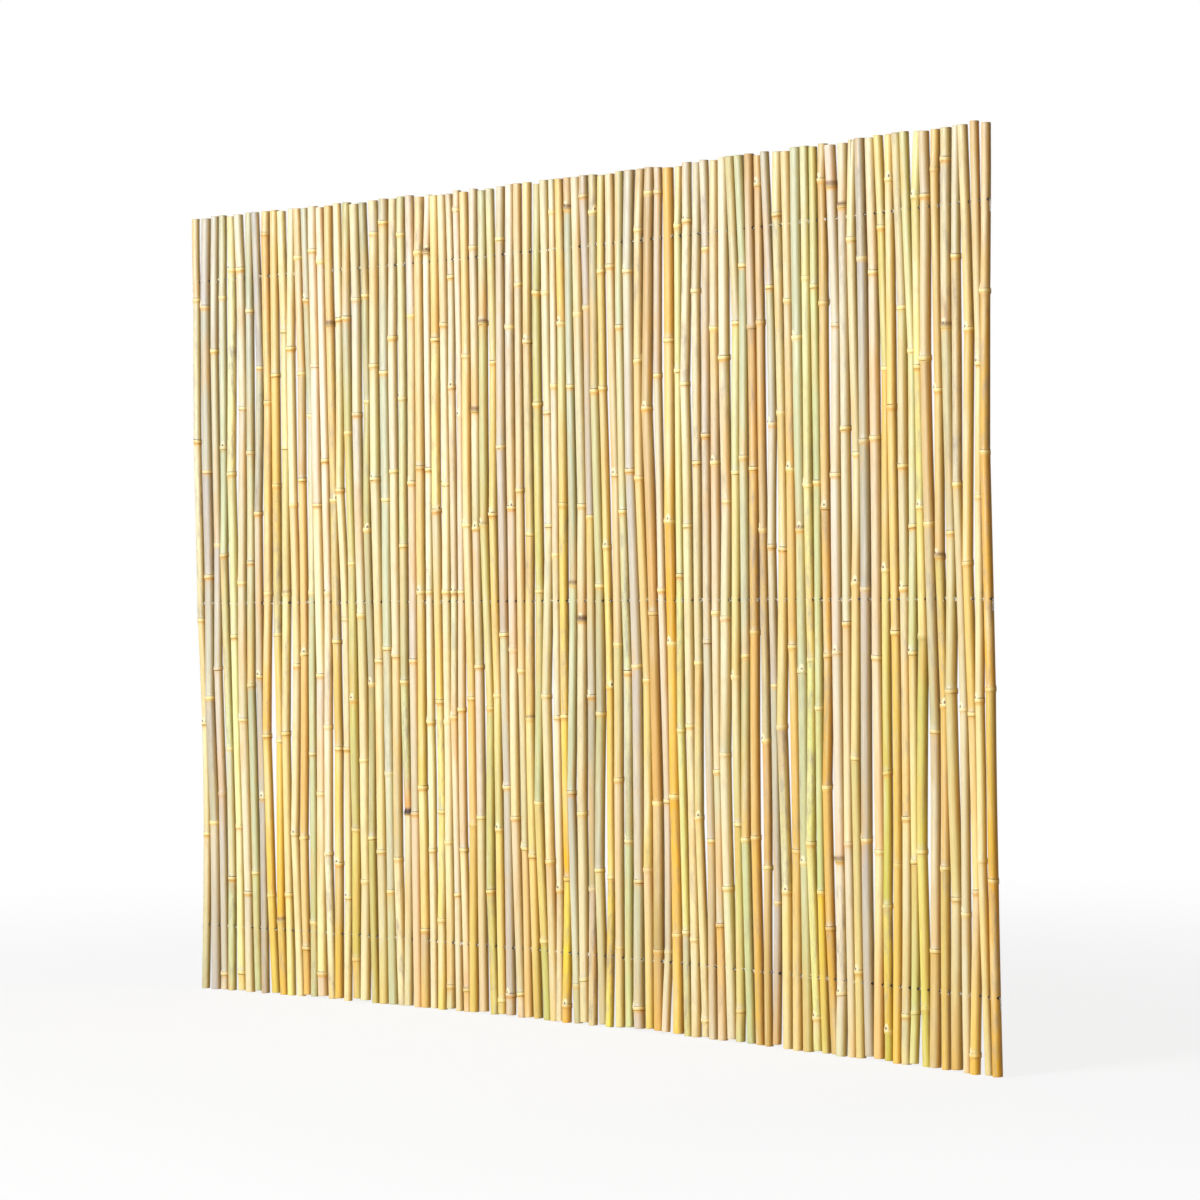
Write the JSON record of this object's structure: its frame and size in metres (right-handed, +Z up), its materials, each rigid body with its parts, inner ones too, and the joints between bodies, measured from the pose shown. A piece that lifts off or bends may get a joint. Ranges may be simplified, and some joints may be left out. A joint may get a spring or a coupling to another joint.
{
  "type": "rolled bamboo fence panel",
  "caption": "Rolled bamboo fence, unrolled and standing: upright natural bamboo canes side by side, drilled across and strung on galvanised steel wires, gently bowed.",
  "frame": {"origin": "on the floor, under the middle of the panel's box", "axes": "+X along the panel, to the right seen from the front; the front faces -Y; +Z up; the middle of the panel bows away towards +Y"},
  "size_m": [2.4432, 0.1118, 1.829],
  "materials": {
    "bamboo_straw": "dry natural cane skin, satin",
    "bamboo_honey": "dry natural cane skin, satin",
    "bamboo_olive": "dry natural cane skin, satin",
    "bamboo_grey": "dry natural cane skin, satin",
    "galvanised_wire": "dull galvanised"
  },
  "bodies": {
    "root": {"cane_pair_01": "bamboo_straw", "cane_pair_02": "bamboo_straw", "cane_pair_03": "bamboo_olive", "cane_pair_04": "bamboo_straw", "cane_pair_05": "bamboo_honey", "cane_pair_06": "bamboo_straw", "cane_pair_07": "bamboo_straw", "cane_pair_08": "bamboo_honey", "cane_pair_09": "bamboo_straw", "cane_pair_10": "bamboo_honey", "cane_pair_11": "bamboo_straw", "cane_pair_12": "bamboo_straw", "cane_pair_13": "bamboo_honey", "cane_pair_14": "bamboo_olive", "cane_pair_15": "bamboo_straw", "cane_pair_16": "bamboo_straw", "cane_pair_17": "bamboo_olive", "cane_pair_18": "bamboo_grey", "cane_pair_19": "bamboo_honey", "cane_pair_20": "bamboo_honey", "cane_pair_21": "bamboo_grey", "cane_pair_22": "bamboo_straw", "cane_pair_23": "bamboo_grey", "cane_pair_24": "bamboo_straw", "cane_pair_25": "bamboo_straw", "cane_pair_26": "bamboo_straw", "cane_pair_27": "bamboo_straw", "cane_pair_28": "bamboo_olive", "cane_pair_29": "bamboo_straw", "cane_pair_30": "bamboo_honey", "cane_pair_31": "bamboo_olive", "cane_pair_32": "bamboo_straw", "cane_pair_33": "bamboo_honey", "cane_pair_34": "bamboo_straw", "cane_pair_35": "bamboo_straw", "cane_pair_36": "bamboo_straw", "cane_pair_37": "bamboo_olive", "cane_pair_38": "bamboo_honey", "cane_pair_39": "bamboo_straw", "cane_pair_40": "bamboo_honey", "cane_pair_41": "bamboo_honey", "cane_pair_42": "bamboo_straw", "cane_pair_43": "bamboo_olive", "cane_pair_44": "bamboo_olive", "cane_pair_45": "bamboo_straw", "bottom_wire": "galvanised_wire", "middle_wire": "galvanised_wire", "top_wire": "galvanised_wire"}
  },
  "joints": []
}
